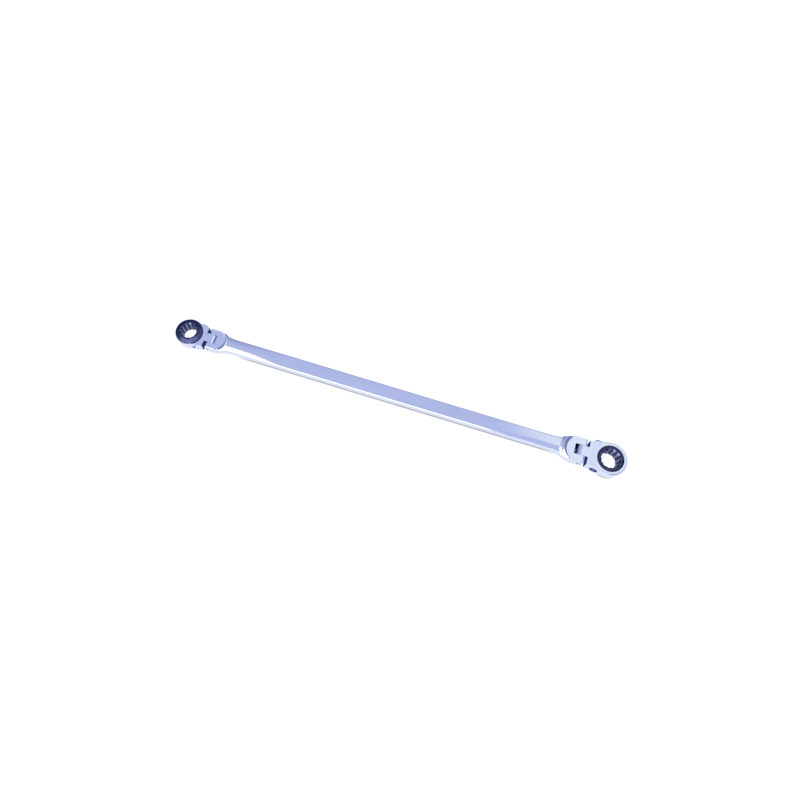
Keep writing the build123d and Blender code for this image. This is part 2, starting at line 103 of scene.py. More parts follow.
class Graph:
    """A node tree that is being wired up."""

    def __init__(self, tree: bpy.types.NodeTree) -> None:
        """Start from an empty tree.

        Args:
            tree: the material's or world's tree, whose nodes are cleared.
        """
        self.tree = tree
        tree.nodes.clear()

    def add(self, kind: str, links: dict[str | int, Any] | None = None, **settings: Any) -> bpy.types.Node:
        """Add one node with its settings, and fill or link its inputs.

        Args:
            kind: the node's type, without the ShaderNode prefix.
            links: input name or number to a value, or to the output socket that feeds it.
            settings: properties of the node itself.

        Returns:
            The new node.
        """
        node = self.tree.nodes.new(f"ShaderNode{kind}")
        for name, value in settings.items():
            setattr(node, name, value)
        for name, value in (links or {}).items():
            if isinstance(value, bpy.types.NodeSocket):
                self.tree.links.new(value, node.inputs[name])
            else:
                node.inputs[name].default_value = value
        return node

    def blend(self, factor: Any, first: Any, second: Any) -> bpy.types.NodeSocket:
        """Add a node that mixes two colours.

        Args:
            factor: share of the second colour, as a number or an output socket.
            first: colour, or the output socket that gives it.
            second: the same for the other colour.

        Returns:
            The mixed colour.
        """
        return self.add("Mix", {"Factor": factor, 6: first, 7: second}, data_type="RGBA").outputs[2]

    def smooth_step(self, value: bpy.types.NodeSocket, start: float, stop: float) -> bpy.types.NodeSocket:
        """Add a node that rises smoothly from 0 to 1.

        Args:
            value: what is measured.
            start: where the rise begins.
            stop: where it ends.

        Returns:
            The result.
        """
        links = {"Value": value, "From Min": start, "From Max": stop}
        return self.add("MapRange", links, interpolation_type="SMOOTHSTEP").outputs["Result"]

    def math(self, operation: str, *values: Any) -> bpy.types.NodeSocket:
        """Add a maths node.

        Args:
            operation: what it does, such as "MULTIPLY".
            values: its inputs in order, each a number or an output socket.

        Returns:
            The result.
        """
        return self.add("Math", dict(enumerate(values)), operation=operation).outputs["Value"]


# ---- sizes --------------------------------------------------------------------------------------
class Kind(Enum):
    """What a node is, named as the end of its node name."""

    HANDLE = "handle"
    HEAD = "head"
    RING_GEAR = "ring_gear"
    RETAINING_RING = "retaining_ring"
    PAWL = "pawl"
    PAWL_BALL = "pawl_ball"
    PAWL_SPRING = "pawl_spring"
    POCKET_PLUG = "pocket_plug"
    PIVOT_PIN = "pivot_pin"
    FLEX_BALL = "flex_ball"
    FLEX_SPRING = "flex_spring"


@dataclass(frozen=True)
class EndSize:
    """Sizes of one end in millimetres; x is measured outwards from the flex pin."""

    name: str
    side: int  # +1 at the end towards +X, -1 at the other
    pin_x: float  # the pin in the world
    pin_to_socket: float
    socket_af: float  # hexagon across flats
    ring_od: float
    ring_height: float
    flange_height: float  # gear flange standing proud of the ring
    flange_rim: float  # thickness of that flange at its edge
    tooth_tip_radius: float
    tooth_depth: float
    mouth_radius: float  # outer edge of the socket's lead-in
    mouth_slope: float  # depth over width of the lead-in
    land_radius: float  # bearing lands of the gear
    hub_radius: float  # gear inside the retaining ring
    clip_width: float
    clip_thickness: float
    clip_depth: float  # retaining ring below the ring's face
    pawl_height: float
    pin_radius: float
    fork_width: float
    pocket_radius: float
    pocket_x: float  # pawl pocket past the pin
    plug_depth: float  # plug's outer face from the centre plane
    spring_wire: float
    pawl_coil_radius: float
    pawl_spring_ends: tuple[float, float]  # y of its two ends
    flex_coil_radius: float
    flex_spring_ends: tuple[float, float]  # x of its two ends

    def place(self, points: np.ndarray) -> np.ndarray:
        """Move points from this end's frame to the world: (pin + side x, y, side z).

        Args:
            points: one row each, in millimetres, in the end's own frame.

        Returns:
            The same points in the world, in millimetres.
        """
        turn = np.array([self.side, 1.0, self.side])
        return points * turn + np.array([self.pin_x, 0.0, 0.0])


LARGE = EndSize(
    name="large", side=1, pin_x=139.45, pin_to_socket=21.0, socket_af=12.0, ring_od=24.6, ring_height=9.2,
    flange_height=1.3, flange_rim=0.6, tooth_tip_radius=9.74, tooth_depth=0.38, mouth_radius=7.8,
    mouth_slope=0.75, land_radius=9.8, hub_radius=8.98, clip_width=1.25, clip_thickness=0.75,
    clip_depth=0.45, pawl_height=4.5, pin_radius=1.6, fork_width=18.4, pocket_radius=3.0, pocket_x=11.4,
    plug_depth=9.95, spring_wire=0.32, pawl_coil_radius=0.7, pawl_spring_ends=(11.0, 6.68),
    flex_coil_radius=1.05, flex_spring_ends=(-14.4, -7.1),
)

SMALL = EndSize(
    name="small", side=-1, pin_x=-145.35, pin_to_socket=17.2, socket_af=10.0, ring_od=20.4, ring_height=8.4,
    flange_height=1.7, flange_rim=0.7, tooth_tip_radius=8.0, tooth_depth=0.32, mouth_radius=6.75,
    mouth_slope=0.72, land_radius=8.06, hub_radius=7.33, clip_width=1.1, clip_thickness=0.7,
    clip_depth=0.4, pawl_height=3.9, pin_radius=1.4, fork_width=15.6, pocket_radius=2.6, pocket_x=9.34,
    plug_depth=8.23, spring_wire=0.28, pawl_coil_radius=0.595, pawl_spring_ends=(8.89, 5.54),
    flex_coil_radius=0.875, flex_spring_ends=(-11.6, -6.17),
)

ENDS = (LARGE, SMALL)


# ---- finishes -----------------------------------------------------------------------------------
@dataclass(frozen=True)
class Crown:
    """A slow swelling of a forged face that only the reflections show, in millimetres."""

    half_width: float  # half the face's width, where the fall is reached
    fall: float  # of the middle of the bar
    neck_fall: float  # where the flares meet the forks
    large_neck: float  # X of the two necks
    small_neck: float
    reach: float  # length over which the neck's fall dies away
    level: float  # the crown stops above this height, where the flat fork pads begin


@dataclass(frozen=True)
class ShadedRecess:
    """A face inside a slot, gap or step that gets painted shade, as a thin box folded onto +y and +z, in mm.
    """

    low: tuple[float, float, float]
    high: tuple[float, float, float]

    def inside(self, graph: Graph, folded: bpy.types.NodeSocket) -> bpy.types.NodeSocket:
        """Give 1 inside the box and 0 outside: the largest of |p - middle| - half size is below zero.

        Args:
            graph: the material's graph.
            folded: position with y and z made positive, in metres.

        Returns:
            The mask.
        """
        low, high = np.array(self.low) * MM, np.array(self.high) * MM
        off = graph.add("VectorMath", {0: folded, 1: ((low + high) / 2).tolist()}, operation="SUBTRACT")
        size = graph.add("VectorMath", {0: off.outputs[0]}, operation="ABSOLUTE")
        past = graph.add(
            "VectorMath", {0: size.outputs[0], 1: ((high - low) / 2).tolist()}, operation="SUBTRACT"
        )
        axes = graph.add("SeparateXYZ", {"Vector": past.outputs[0]})
        most = graph.math("MAXIMUM", axes.outputs["X"], axes.outputs["Y"])
        return graph.math("LESS_THAN", graph.math("MAXIMUM", most, axes.outputs["Z"]), 0.0)


@dataclass(frozen=True)
class FluteShading:
    """Twelve-point bores with painted shade in their corners and a painted highlight on their crests, in
    millimetres.
    """

    large_x: float  # the two socket axes in the world
    small_x: float
    large_radius: float  # reach of the marks
    small_radius: float
    # colours of the painted shade in each corner and of the painted highlight on each crest
    corner: str
    crest: str

    def mark(
        self, graph: Graph, place: bpy.types.NodeSocket, base: bpy.types.NodeSocket
    ) -> bpy.types.NodeSocket:
        """Blend the painted shade of the corners with the painted highlight of the crests by (1 - cos(12 a))
        / 2, a being the angle about the socket.

        Args:
            graph: the material's graph.
            place: object coordinates, in metres.
            base: colour outside the bores.

        Returns:
            The colour with the marks.
        """
        axes = graph.add("SeparateXYZ", {"Vector": place})
        at_large = graph.math("GREATER_THAN", axes.outputs["X"], 0.0)
        gap = (self.large_x - self.small_x) * MM
        middle = graph.math("MULTIPLY_ADD", at_large, gap, self.small_x * MM)
        x, y = graph.math("SUBTRACT", axes.outputs["X"], middle), axes.outputs["Y"]
        angle = graph.math("ARCTAN2", y, x)
        wave = graph.math("COSINE", graph.math("MULTIPLY", angle, float(BORE_POINTS)))
        share = graph.math("MULTIPLY_ADD", wave, -0.5, 0.5)
        square = graph.math("ADD", graph.math("MULTIPLY", x, x), graph.math("MULTIPLY", y, y))
        radius = graph.math("SQRT", square)
        wider = (self.large_radius - self.small_radius) * MM
        limit = graph.math("MULTIPLY_ADD", at_large, wider, self.small_radius * MM)
        marks = graph.blend(share, linear(self.corner), linear(self.crest))
        return graph.blend(graph.math("LESS_THAN", radius, limit), base, marks)


@dataclass(frozen=True)
class MetalFinish:
    """A metal surface: its colour and gloss, with fine unevenness drawn from real sizes in millimetres."""

    name: str
    colour: str
    colour_worn: str  # where handling and polishing have changed it
    roughness: float
    roughness_spread: float
    grain: float  # mm, size of the fine surface grain
    grain_depth: float  # mm, height of that grain
    mottle: float  # mm, size of the slow unevenness
    mottle_depth: float  # mm
    stretch: tuple[float, float, float] = (1.0, 1.0, 1.0)  # pattern's scale along x, y and z
    crown: Crown | None = None
    # faces that get painted shade
    shaded_recesses: tuple[ShadedRecess, ...] = ()
    flutes: FluteShading | None = None
    painted_shade_colour: str = "5A6088"  # painted shade inside the slots and gaps
    painted_shade_edge: str = "8A90B0"  # reflection of that painted shade at grazing angles
    edge_tint: str = "FFFFFF"  # reflection at grazing angles; dark where a coat soaks it up

    def material(self) -> bpy.types.Material:
        """Build the material: slow noise mixes two colours, fine noise varies gloss and lifts the surface.

        Returns:
            The new material, named for the metal and its finish.
        """
        made = bpy.data.materials.new(self.name)
        made.use_nodes = True
        graph = Graph(made.node_tree)
        place = graph.add("TexCoord").outputs["Object"]
        drawn = graph.add("Mapping", {"Vector": place, "Scale": self.stretch}).outputs["Vector"]
        slow = graph.add(
            "TexNoise",
            {"Vector": drawn, "Scale": 1 / (self.mottle * MM), "Detail": 3.0, "Roughness": 0.55},
        )
        fine = graph.add(
            "TexNoise",
            {"Vector": drawn, "Scale": 1 / (self.grain * MM), "Detail": 4.0, "Roughness": 0.6},
        )
        worn = graph.add(
            "MapRange",
            {"Value": slow.outputs["Fac"], "From Min": WORN_SPAN[0], "From Max": WORN_SPAN[1]},
        )
        tint = graph.blend(worn.outputs["Result"], linear(self.colour), linear(self.colour_worn))
        edge = linear(self.edge_tint)
        # painted shade in the bore's corners and painted highlight on its crests
        if self.flutes:
            tint = self.flutes.mark(graph, place, tint)
        # painted shade on the faces inside the slots, gaps and steps
        if self.shaded_recesses:
            shaded = self._painted_shade_mask(graph, place)
            tint = graph.blend(shaded, tint, linear(self.painted_shade_colour))
            edge = graph.blend(shaded, edge, linear(self.painted_shade_edge))
        rough = graph.add(
            "MapRange",
            {
                "Value": fine.outputs["Fac"],
                "From Min": GLOSS_SPAN[0],
                "From Max": GLOSS_SPAN[1],
                "To Min": max(LEAST_ROUGHNESS, self.roughness - self.roughness_spread),
                "To Max": self.roughness + self.roughness_spread,
            },
        )
        normal = self._swell(graph, place) if self.crown else {}
        ripple = graph.add(
            "Bump", {"Height": slow.outputs["Fac"], "Distance": self.mottle_depth * MM, **normal}
        )
        relief = graph.add(
            "Bump",
            {
                "Height": fine.outputs["Fac"],
                "Distance": self.grain_depth * MM,
                "Normal": ripple.outputs["Normal"],
            },
        )
        shader = graph.add(
            "BsdfPrincipled",
            {
                "Base Color": tint,
                "Metallic": 1.0,
                "Specular Tint": edge,
                "Roughness": rough.outputs["Result"],
                "Normal": relief.outputs["Normal"],
            },
        )
        graph.add("OutputMaterial", {"Surface": shader.outputs["BSDF"]})
        return made

    def _painted_shade_mask(self, graph: Graph, place: bpy.types.NodeSocket) -> bpy.types.NodeSocket:
        """Mark every face that gets painted shade.

        Args:
            graph: the material's graph.
            place: object coordinates, in metres.

        Returns:
            1 on the faces with painted shade and 0 elsewhere.
        """
        axes = graph.add("SeparateXYZ", {"Vector": place})
        across = graph.math("ABSOLUTE", axes.outputs["Y"])
        up = graph.math("ABSOLUTE", axes.outputs["Z"])
        folded = graph.add("CombineXYZ", {"X": axes.outputs["X"], "Y": across, "Z": up}).outputs[0]
        shaded = self.shaded_recesses[0].inside(graph, folded)
        for recess in self.shaded_recesses[1:]:
            shaded = graph.math("MAXIMUM", shaded, recess.inside(graph, folded))
        return shaded

    def _swell(self, graph: Graph, place: bpy.types.NodeSocket) -> dict[str, bpy.types.NodeSocket]:
        """Tip the normals as a crown would: height = -fall(x) * (y / half width)^2.

        The fall grows from the bar's to the neck's as a bell curve about each neck.

        Args:
            graph: the material's graph.
            place: object coordinates, in metres.

        Returns:
            The "Normal" input for the next bump.
        """
        crown = self.crown
        axes = graph.add("SeparateXYZ", {"Vector": place})
        bells = []
        for neck in (crown.large_neck, crown.small_neck):
            shift = graph.math("SUBTRACT", axes.outputs["X"], neck * MM)
            ratio = graph.math("DIVIDE", shift, crown.reach * MM)
            square = graph.math("MULTIPLY", ratio, ratio)
            bells.append(graph.math("EXPONENT", graph.math("MULTIPLY", square, -1.0)))
        both = graph.math("ADD", *bells)
        fall = graph.math("MULTIPLY_ADD", both, crown.neck_fall - crown.fall, crown.fall)
        across = graph.math("DIVIDE", axes.outputs["Y"], crown.half_width * MM)
        height = graph.math("MULTIPLY", graph.math("MULTIPLY", across, across), fall)
        up = graph.math("ABSOLUTE", axes.outputs["Z"])
        on_bar = graph.math("LESS_THAN", up, crown.level * MM)
        bump = graph.add("Bump", {"Height": height, "Distance": MM, "Strength": on_bar}, invert=True)
        return {"Normal": bump.outputs["Normal"]}


# Bright chrome over nickel on a buffed forging: a cool mirror, crowned a little across the bar and
# more at the necks, with a faint waviness that bends reflections.
BUFFED_CHROME = MetalFinish(
    name="buffed_chrome_plate",
    colour="D3D8E8",
    colour_worn="CCD2E4",
    roughness=0.07,
    roughness_spread=0.02,
    grain=0.35,
    grain_depth=0.0006,
    mottle=9.0,
    mottle_depth=0.012,
    stretch=(0.35, 1.0, 1.0),
    crown=Crown(
        half_width=8.0, fall=0.45, neck_fall=1.5, large_neck=116.0, small_neck=-126.0, reach=26.0, level=2.75
    ),
    # painted shade on both ear ends and on the large end's slot wall and slot bottom
    shaded_recesses=(
        ShadedRecess(low=(141.75, 3.8, 0.0), high=(142.1, 9.2, 4.1)),
        ShadedRecess(low=(133.9, 3.88, 0.0), high=(142.1, 3.96, 4.35)),
        ShadedRecess(low=(134.0, 0.0, 0.0), high=(134.1, 3.96, 4.35)),
        ShadedRecess(low=(-147.6, 3.3, 0.0), high=(-147.25, 7.8, 3.65)),
    ),
)

# The same plate on the ring heads, belt-polished across and a little softer.
SATIN_CHROME = MetalFinish(
    name="polished_chrome_plate",
    colour="D3D8E8",
    colour_worn="CDD3E5",
    roughness=0.12,
    roughness_spread=0.03,
    grain=0.3,
    grain_depth=0.0008,
    mottle=6.0,
    mottle_depth=0.008,
    # painted shade on the shoulders of both heads that face the ear ends
    shaded_recesses=(
        ShadedRecess(low=(144.3, 3.8, 0.0), high=(144.4, 9.3, 4.35)),
        ShadedRecess(low=(-149.7, 3.3, 0.0), high=(-149.6, 7.9, 3.85)),
    ),
)

# Turned steel plugs, plated thinly in their recess, so they stay darker than the housing.
DULL_CHROME = MetalFinish(
    name="thin_plated_steel",
    colour="6C7090",
    colour_worn="565A7A",
    edge_tint="B0B4CC",
    roughness=0.26,
    roughness_spread=0.05,
    grain=0.15,
    grain_depth=0.001,
    mottle=1.5,
    mottle_depth=0.001,
)

# Black oxide on machined gear steel: a thin blue-black skin that still mirrors, paler where it has rubbed.
BLACK_OXIDE = MetalFinish(
    name="black_oxide_steel",
    colour="3A3E5C",
    colour_worn="4A4E6C",
    edge_tint="C0C4D8",
    roughness=0.22,
    roughness_spread=0.05,
    grain=0.18,
    grain_depth=0.0015,
    mottle=2.5,
    mottle_depth=0.003,
    # the bore's stripes are painted shade in the corners and painted highlight on the crests
    flutes=FluteShading(
        large_x=160.45, small_x=-162.55, large_radius=7.75, small_radius=6.7, corner="1C2038", crest="7C82A6"
    ),
)

# Black-finished spring wire of the retaining rings, a shade duller than the gears.
BLACK_WIRE = MetalFinish(
    name="blackened_spring_steel",
    colour="34384F",
    colour_worn="434760",
    edge_tint="A8ACC0",
    roughness=0.3,
    roughness_spread=0.06,
    grain=0.12,
    grain_depth=0.001,
    mottle=1.8,
    mottle_depth=0.002,
)

# Hardened steel left as ground: grey, with fine grinding marks.
GROUND_STEEL = MetalFinish(
    name="ground_tool_steel",
    colour="A9ACB6",
    colour_worn="9599A6",
    roughness=0.24,
    roughness_spread=0.06,
    grain=0.15,
    grain_depth=0.0012,
    mottle=1.6,
    mottle_depth=0.002,
    stretch=(1.0, 1.0, 0.3),
)

# Lapped bearing balls: bright and even.
LAPPED_STEEL = MetalFinish(
    name="lapped_ball_steel",
    colour="C4C7CE",
    colour_worn="BCC0C9",
    roughness=0.06,
    roughness_spread=0.02,
    grain=0.1,
    grain_depth=0.0003,
    mottle=0.8,
    mottle_depth=0.0006,
)

# Cold-drawn music wire: bright grey, with die lines along it.
MUSIC_WIRE = MetalFinish(
    name="drawn_music_wire",
    colour="9EA1AB",
    colour_worn="878B97",
    roughness=0.28,
    roughness_spread=0.07,
    grain=0.1,
    grain_depth=0.0008,
    mottle=0.7,
    mottle_depth=0.001,
)

FINISHES = {
    Kind.HANDLE: BUFFED_CHROME,
    Kind.HEAD: SATIN_CHROME,
    Kind.RING_GEAR: BLACK_OXIDE,
    Kind.RETAINING_RING: BLACK_WIRE,
    Kind.PAWL: GROUND_STEEL,
    Kind.PAWL_BALL: LAPPED_STEEL,
    Kind.PAWL_SPRING: MUSIC_WIRE,
    Kind.POCKET_PLUG: DULL_CHROME,
    Kind.PIVOT_PIN: GROUND_STEEL,
    Kind.FLEX_BALL: LAPPED_STEEL,
    Kind.FLEX_SPRING: MUSIC_WIRE,
}


# ---- surfaces -----------------------------------------------------------------------------------
def rounded(corners: np.ndarray, radius: float, steps: int = 3) -> np.ndarray:
    """Round every inner corner of an open outline with a true arc.

    Each arc is a quadratic rational curve from a to b round the corner p: with half the inside angle h,
    a and b lie radius / tan(h) from p, and p carries the weight sin(h).

    Args:
        corners: outline points, one row each; the first and last stay sharp.
        radius: radius of every arc.
        steps: spans per arc.

    Returns:
        The outline's points in order.
    """
    point = corners[1:-1]
    back, ahead = corners[:-2] - point, corners[2:] - point
    back = back / np.linalg.norm(back, axis=1, keepdims=True)
    ahead = ahead / np.linalg.norm(ahead, axis=1, keepdims=True)
    half = np.arccos(np.clip((back * ahead).sum(1), -1, 1)) / 2
    reach = (radius / np.tan(half))[:, None]
    start, stop = point + back * reach, point + ahead * reach
    t = np.linspace(0, 1, steps + 1)[None, :, None]
    weight = np.sin(half)[:, None, None]
    top = (1 - t) ** 2 * start[:, None] + 2 * t * (1 - t) * weight * point[:, None] + t**2 * stop[:, None]
    under = (1 - t) ** 2 + 2 * t * (1 - t) * weight + t**2
    return np.vstack([corners[:1], (top / under).reshape(-1, corners.shape[1]), corners[-1:]])


def grid_faces(rows: int, columns: int, loop_rows: bool, loop_columns: bool) -> np.ndarray:
    """Quads of a grid of points numbered row by row.

    Args:
        rows: number of rows.
        columns: number of columns.
        loop_rows: join the last row to the first.
        loop_columns: join the last column to the first.

    Returns:
        Four point numbers per quad: (r, c), (r, c + 1), (r + 1, c + 1), (r + 1, c).
    """
    r = np.arange(rows if loop_rows else rows - 1)[:, None]
    c = np.arange(columns if loop_columns else columns - 1)[None, :]
    r_next, c_next = (r + 1) % rows, (c + 1) % columns
    quads = [r * columns + c, r * columns + c_next, r_next * columns + c_next, r_next * columns + c]
    return np.stack(np.broadcast_arrays(*quads), axis=-1).reshape(-1, 4)


def solid(name: str, points: np.ndarray, faces: list[list[int]]) -> bpy.types.Object:
    """Make a closed mesh object from points in millimetres, its faces turned outwards.

    Six times the enclosed volume is the sum of a . (b x c) over the triangles of every face; a negative
    sum means that the faces look inwards, and they are then all turned over.

    Args:
        name: name of the object and its mesh.
        points: corner points in the world, in millimetres.
        faces: point numbers of each face.

    Returns:
        The object, at the origin, smooth except across real edges.
    """
    mesh = bpy.data.meshes.new(name)
    mesh.from_pydata(points * MM, [], faces)
    mesh.calc_loop_triangles()
    corners = np.empty(3 * len(mesh.loop_triangles), dtype=np.int32)
    mesh.loop_triangles.foreach_get("vertices", corners)
    a, b, c = points[corners.reshape(-1, 3)].transpose(1, 0, 2)
    if (a * np.cross(b, c)).sum() < 0:
        mesh.flip_normals()
    mesh.shade_smooth()
    mesh.set_sharp_from_angle(angle=np.radians(SHARP_DEGREES))
    mesh.validate()
    piece = bpy.data.objects.new(name, mesh)
    bpy.context.scene.collection.objects.link(piece)
    even = piece.modifiers.new("even_normals", "WEIGHTED_NORMAL")
    even.keep_sharp = True
    return piece


def lathe(profile: np.ndarray, columns: int = 64) -> tuple[np.ndarray, list[list[int]]]:
    """Turn a profile about the local y axis and close both ends with one point each.

    Args:
        profile: rows of (radius, y); its first and last points lie on the axis.
        columns: points round each ring.

    Returns:
        Points, with x = radius cos(a), z = radius sin(a), and the faces.
    """
    angle = np.arange(columns) * 2 * np.pi / columns
    radius, along = profile[1:-1, 0, None], profile[1:-1, 1, None]
    rings = np.stack(
        np.broadcast_arrays(radius * np.cos(angle), along, radius * np.sin(angle)), axis=-1
    ).reshape(-1, 3)
    poles = np.array([[0.0, profile[0, 1], 0.0], [0.0, profile[-1, 1], 0.0]])
    rows, count = len(profile) - 2, len(rings)
    ring = np.arange(columns)
    after = (ring + 1) % columns
    last = (rows - 1) * columns
    first_fan = np.stack([after, ring, np.full(columns, count)], axis=1)
    last_fan = np.stack([last + ring, last + after, np.full(columns, count + 1)], axis=1)
    faces = grid_faces(rows, columns, False, True).tolist() + first_fan.tolist() + last_fan.tolist()
    return np.vstack([rings, poles]), faces


# ---- pieces -------------------------------------------------------------------------------------
@dataclass(frozen=True)
class RingGear:
    """Blackened ring gear: proud flange, two bearing lands, 72 fine teeth, hub and 12-point bore."""

    end: EndSize
    teeth: int = 72
    crest: float = 0.08  # half width of a tooth's crest, as a share of the pitch
    edge: float = 0.28  # chamfers of the flange and hub
    edge_radius: float = 0.05
    edge_steps: int = 2
    flange_gap: float = 0.05  # thrust face to the housing
    flange_inset: float = 0.12  # flange's rim inside the housing's
    clip_gap: float = 0.03  # shoulder below the retaining ring
    land_margin: float = 0.06  # outline points further inside the lands than this carry teeth
    relief: tuple[float, float] = (0.45, 0.25)  # toothed band past the pawl, below and above

    def build(self) -> bpy.types.Object:
        """Sweep the section round the socket's axis; teeth and flutes vary its radius by angle.

        Every pitch has four columns, at -0.5, -crest, 0 and +crest of a pitch from a tooth's middle. The
        bore's radius is af / 2 / cos(30 degrees - |t|), with t the angle from the nearest of 12 points,
        and the lead-in falls from the mouth at a fixed slope until it meets the bore.

        Returns:
            The gear.
        """
        end = self.end
        half = end.ring_height / 2
        hub_top = half - end.clip_depth / 2
        face = -half - self.flange_gap
        low, bottom = face - end.flange_rim, -half - end.flange_height
        flange = end.ring_od / 2 - self.flange_inset
        band = (-end.pawl_height / 2 - self.relief[0], end.pawl_height / 2 + self.relief[1])
        land_top = half - end.clip_depth - end.clip_thickness - self.clip_gap
        land, hub = end.land_radius, end.hub_radius
        pitch_radius = end.tooth_tip_radius - end.tooth_depth / 2
        outline = rounded(
            np.array([
                (end.mouth_radius, bottom),
                (end.mouth_radius + self.edge, bottom),
                (flange - self.edge, low),
                (flange, low + self.edge),
                (flange, face),
                (land, face),
                (land, band[0]),
                (pitch_radius, band[0]),
                (pitch_radius, band[1]),
                (land, band[1]),
                (land, land_top),
                (hub, land_top),
                (hub, hub_top - self.edge),
                (hub - self.edge, hub_top),
                (end.mouth_radius, hub_top),
            ]),
            self.edge_radius,
            self.edge_steps,
        )
        pitch = 2 * np.pi / self.teeth
        offsets = np.array([-0.5, -self.crest, 0.0, self.crest]) * pitch
        angle = (np.arange(self.teeth)[:, None] * pitch + offsets).ravel() + np.pi
        is_root = np.tile([1.0, 0.0, 0.0, 0.0], self.teeth)
        sunk = outline[:, 0] < land - self.land_margin
        toothed = sunk & (outline[:, 1] > band[0]) & (outline[:, 1] < band[1])
        wave = end.tooth_depth * (0.5 - is_root)
        radius = outline[:, 0, None] + toothed[:, None] * wave
        height = np.repeat(outline[:, 1, None], angle.size, axis=1)
        half_step = np.pi / BORE_POINTS
        from_point = np.abs((angle + half_step) % (2 * half_step) - half_step)
        bore = end.socket_af / 2 / np.cos(np.pi / 6 - from_point)
        lead = end.mouth_slope * (end.mouth_radius - bore)
        radius = np.vstack([radius, bore, bore])
        height = np.vstack([height, hub_top - lead, bottom + lead])
        points = np.stack(
            [end.pin_to_socket + radius * np.cos(angle), radius * np.sin(angle), height], axis=-1
        ).reshape(-1, 3)
        faces = grid_faces(len(radius), angle.size, True, True).tolist()
        return solid(f"{end.name}_gear_body", end.place(points), faces)


@dataclass(frozen=True)
class RetainingRing:
    """Open spring ring over the gear's shoulder, with parallel-sided gap and rolled edges."""

    end: EndSize
    gap: float = 0.3  # opening, as a share of the outer radius
    inner_gap: float = 0.12  # ring clear of the gear's hub
    edge_radius: float = 0.12
    columns: int = 160

    def build(self) -> bpy.types.Object:
        """Sweep a rounded rectangle round the socket: angle = start + t (turn - 2 start), where start is
        the arcsine of half the gap over each point's own radius, so the two cut ends are parallel.

        Returns:
            The ring.
        """
        end = self.end
        top = end.ring_height / 2 - end.clip_depth
        low = top - end.clip_thickness
        inner = end.hub_radius + self.inner_gap
        outer = inner + end.clip_width
        middle = (inner + outer) / 2
        section = rounded(
            np.array([(middle, low), (outer, low), (outer, top), (inner, top), (inner, low), (middle, low)]),
            self.edge_radius,
        )[:-1]
        radius, height = section[:, 0][None, :], section[:, 1][None, :]
        start = np.arcsin(self.gap * outer / 2 / radius)
        t = np.linspace(0, 1, self.columns)[:, None]
        angle = start + t * (2 * np.pi - 2 * start)
        x = end.pin_to_socket + radius * np.cos(angle)
        points = np.stack(np.broadcast_arrays(x, radius * np.sin(angle), height), axis=-1).reshape(-1, 3)
        count = len(section)
        first = np.arange(count)
        caps = [first[::-1].tolist(), (first + (self.columns - 1) * count).tolist()]
        faces = grid_faces(self.columns, count, False, True).tolist() + caps
        return solid(f"{end.name}_spring_ring", end.place(points), faces)


@dataclass(frozen=True)
class PivotPin:
    """Flex pin, pressed in the ears: a ground rod with chamfered, slightly domed ends."""

    end: EndSize
    recess: float = 0.15  # each end below the ear
    chamfer: float = 0.25
    dome: float = 0.08
    edge_radius: float = 0.06
    columns: int = 48

    def build(self) -> bpy.types.Object:
        """Turn the pin's profile.

        Returns:
            The pin.
        """
        end = self.end
        top = end.fork_width / 2 - self.recess
        radius = end.pin_radius
        side = rounded(
            np.array([
                (0.0, -top),
                (radius - self.chamfer, -top + self.dome),
                (radius, -top + self.dome + self.chamfer),
                (radius, top - self.dome - self.chamfer),
                (radius - self.chamfer, top - self.dome),
                (0.0, top),
            ]),
            self.edge_radius,
        )
        points, faces = lathe(side, self.columns)
        return solid(f"{end.name}_flex_pin", end.place(points), faces)


@dataclass(frozen=True)
class PocketPlug:
    """Plug in the open end of the pawl pocket, with a rolled rim and a centre-punched dimple."""

    end: EndSize
    thickness: float = 0.75  # share of the pocket's radius
    dimple: float = 0.25  # radius and depth, as a share of the pocket's radius
    rim: float = 0.05  # radius of the rolled edges

    def build(self) -> bpy.types.Object:
        """Turn the plug's profile and set it on the pocket's axis.

        Returns:
            The plug.
        """
        end = self.end
        radius = end.pocket_radius
        outside = -end.plug_depth
        inside = outside + self.thickness * radius
        deep = self.dimple * radius
        side = rounded(
            np.array([
                (0.0, outside + deep),
                (deep / 4, outside + deep),
                (deep, outside),
                (radius, outside),
                (radius, inside),
                (0.0, inside),
            ]),
            self.rim,
        )
        points, faces = lathe(side)
        points = points + np.array([end.pocket_x, 0.0, 0.0])
        return solid(f"{end.name}_pocket_cap", end.place(points), faces)


